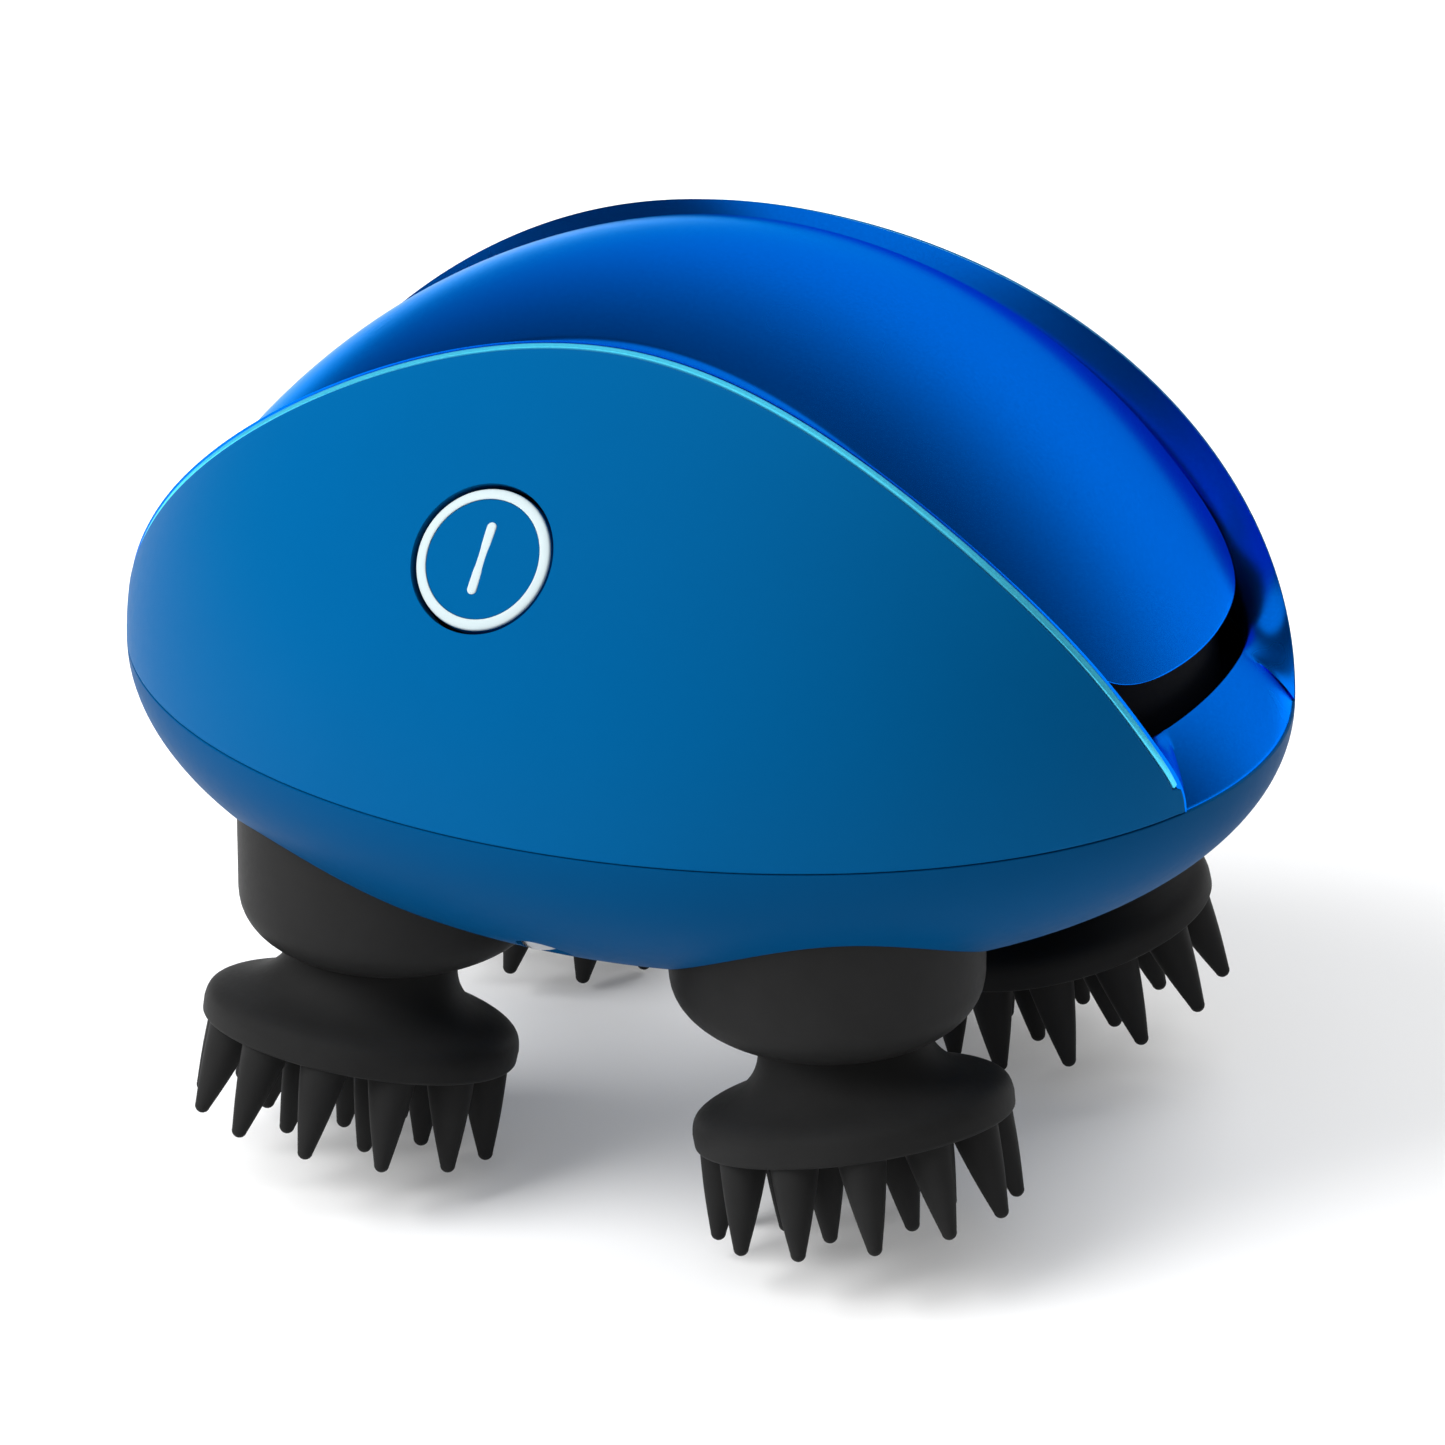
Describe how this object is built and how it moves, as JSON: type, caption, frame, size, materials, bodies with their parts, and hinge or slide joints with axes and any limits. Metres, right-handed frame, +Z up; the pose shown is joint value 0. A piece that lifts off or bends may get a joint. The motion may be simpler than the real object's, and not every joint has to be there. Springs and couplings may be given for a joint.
{
  "type": "scalp massager brush",
  "caption": "Cordless hand-held scalp massager: a palm-sized egg-shaped body with four tilted, motor-driven silicone nub heads beneath it.",
  "frame": {"origin": "on the ground under the centre of the body, where the lowest nub tips stand", "axes": "+X along the body's length, to the right with the power button facing the viewer; -Y towards the power button's side; +Z up"},
  "size_m": [0.125, 0.102, 0.0946],
  "materials": {
    "matte_blue": "satin, soft-touch",
    "gloss_blue": "metallic, high gloss",
    "trim_blue": "metallic, high gloss",
    "pale_mark": "satin",
    "rubber_black": "matte",
    "acetal_white": "satin",
    "nylon_grey": "matte",
    "steel": "turned",
    "brass": "turned",
    "motor_can": "drawn",
    "cell_wrap": "shrink sleeve",
    "board_green": "solder mask",
    "switch_black": "moulded",
    "silicone": "matte",
    "boss_grey": "matte"
  },
  "bodies": {
    "housing": {"lower_housing": "matte_blue", "upper_housing": "gloss_blue", "front_side_cover": "matte_blue", "rear_side_cover": "matte_blue", "front_trim_strip": "trim_blue", "rear_trim_strip": "trim_blue", "palm_grip": "gloss_blue", "seam_gasket": "rubber_black", "button_return_pad": "rubber_black", "gear_plate": "nylon_grey", "motor_bracket": "nylon_grey", "bracket_pillars": "steel", "bracket_screws": "steel", "housing_screws": "steel", "motor": "motor_can", "reduction_axle": "steel", "sun_axle": "steel", "battery_cell": "cell_wrap", "battery_holder": "nylon_grey", "control_board": "board_green", "tact_switch": "switch_black", "charging_port": "steel", "shaft_bush_front_left": "brass", "shaft_bush_front_right": "brass", "shaft_bush_rear_left": "brass", "shaft_bush_rear_right": "brass"},
    "front_left_head": {"massage_head_front_left": "silicone", "head_core_front_left": "acetal_white", "head_boss_front_left": "boss_grey", "drive_shaft_front_left": "steel", "head_gear_front_left": "acetal_white"},
    "front_right_head": {"massage_head_front_right": "silicone", "head_core_front_right": "acetal_white", "head_boss_front_right": "boss_grey", "drive_shaft_front_right": "steel", "head_gear_front_right": "acetal_white"},
    "rear_left_head": {"massage_head_rear_left": "silicone", "head_core_rear_left": "acetal_white", "head_boss_rear_left": "boss_grey", "drive_shaft_rear_left": "steel", "head_gear_rear_left": "acetal_white"},
    "rear_right_head": {"massage_head_rear_right": "silicone", "head_core_rear_right": "acetal_white", "head_boss_rear_right": "boss_grey", "drive_shaft_rear_right": "steel", "head_gear_rear_right": "acetal_white"},
    "sun": {"sun_gear": "acetal_white"},
    "reduction": {"reduction_gear": "acetal_white"},
    "rotor": {"motor_pinion": "brass"},
    "button": {"power_button": "matte_blue", "button_ring": "pale_mark", "button_bar": "pale_mark"},
    "stopper": {"port_plug": "rubber_black"}
  },
  "joints": [
    {"name": "front_left_head_spin", "type": "hinge", "parent": "housing", "child": "front_left_head", "pos_m": [-0.0245, -0.0245, 0.0338], "axis": [0, 0, 1], "continuous": true},
    {"name": "front_right_head_spin", "type": "hinge", "parent": "housing", "child": "front_right_head", "pos_m": [0.0245, -0.0245, 0.0338], "axis": [0, 0, 1], "continuous": true},
    {"name": "rear_left_head_spin", "type": "hinge", "parent": "housing", "child": "rear_left_head", "pos_m": [-0.0245, 0.0245, 0.0338], "axis": [0, 0, 1], "continuous": true},
    {"name": "rear_right_head_spin", "type": "hinge", "parent": "housing", "child": "rear_right_head", "pos_m": [0.0245, 0.0245, 0.0338], "axis": [0, 0, 1], "continuous": true},
    {"name": "sun_spin", "type": "hinge", "parent": "housing", "child": "sun", "pos_m": [0, 0, 0.0467], "axis": [0, 0, 1], "continuous": true},
    {"name": "reduction_spin", "type": "hinge", "parent": "housing", "child": "reduction", "pos_m": [0.02984, 0, 0.0486], "axis": [0, 0, 1], "continuous": true},
    {"name": "motor_spin", "type": "hinge", "parent": "housing", "child": "rotor", "pos_m": [0.01454, 0, 0.0509], "axis": [0, 0, 1], "continuous": true},
    {"name": "button_press", "type": "slide", "parent": "housing", "child": "button", "axis": [0.0763, 0.7945, -0.6025], "range_m": [0, 0.0008], "stiffness_N_per_m": 600, "springref_m": -0.0006, "deforming": ["button_return_pad"]},
    {"name": "port_plug_pull", "type": "slide", "parent": "housing", "child": "stopper", "axis": [0, 1, 0], "range_m": [0, 0.012]}
  ],
  "couplings": [
    {"joint": "front_right_head_spin", "follows": "front_left_head_spin", "ratio": 1},
    {"joint": "rear_left_head_spin", "follows": "front_left_head_spin", "ratio": 1},
    {"joint": "rear_right_head_spin", "follows": "front_left_head_spin", "ratio": 1},
    {"joint": "sun_spin", "follows": "front_left_head_spin", "ratio": -0.5},
    {"joint": "reduction_spin", "follows": "front_left_head_spin", "ratio": 1.7143},
    {"joint": "motor_spin", "follows": "front_left_head_spin", "ratio": -6.6122}
  ]
}
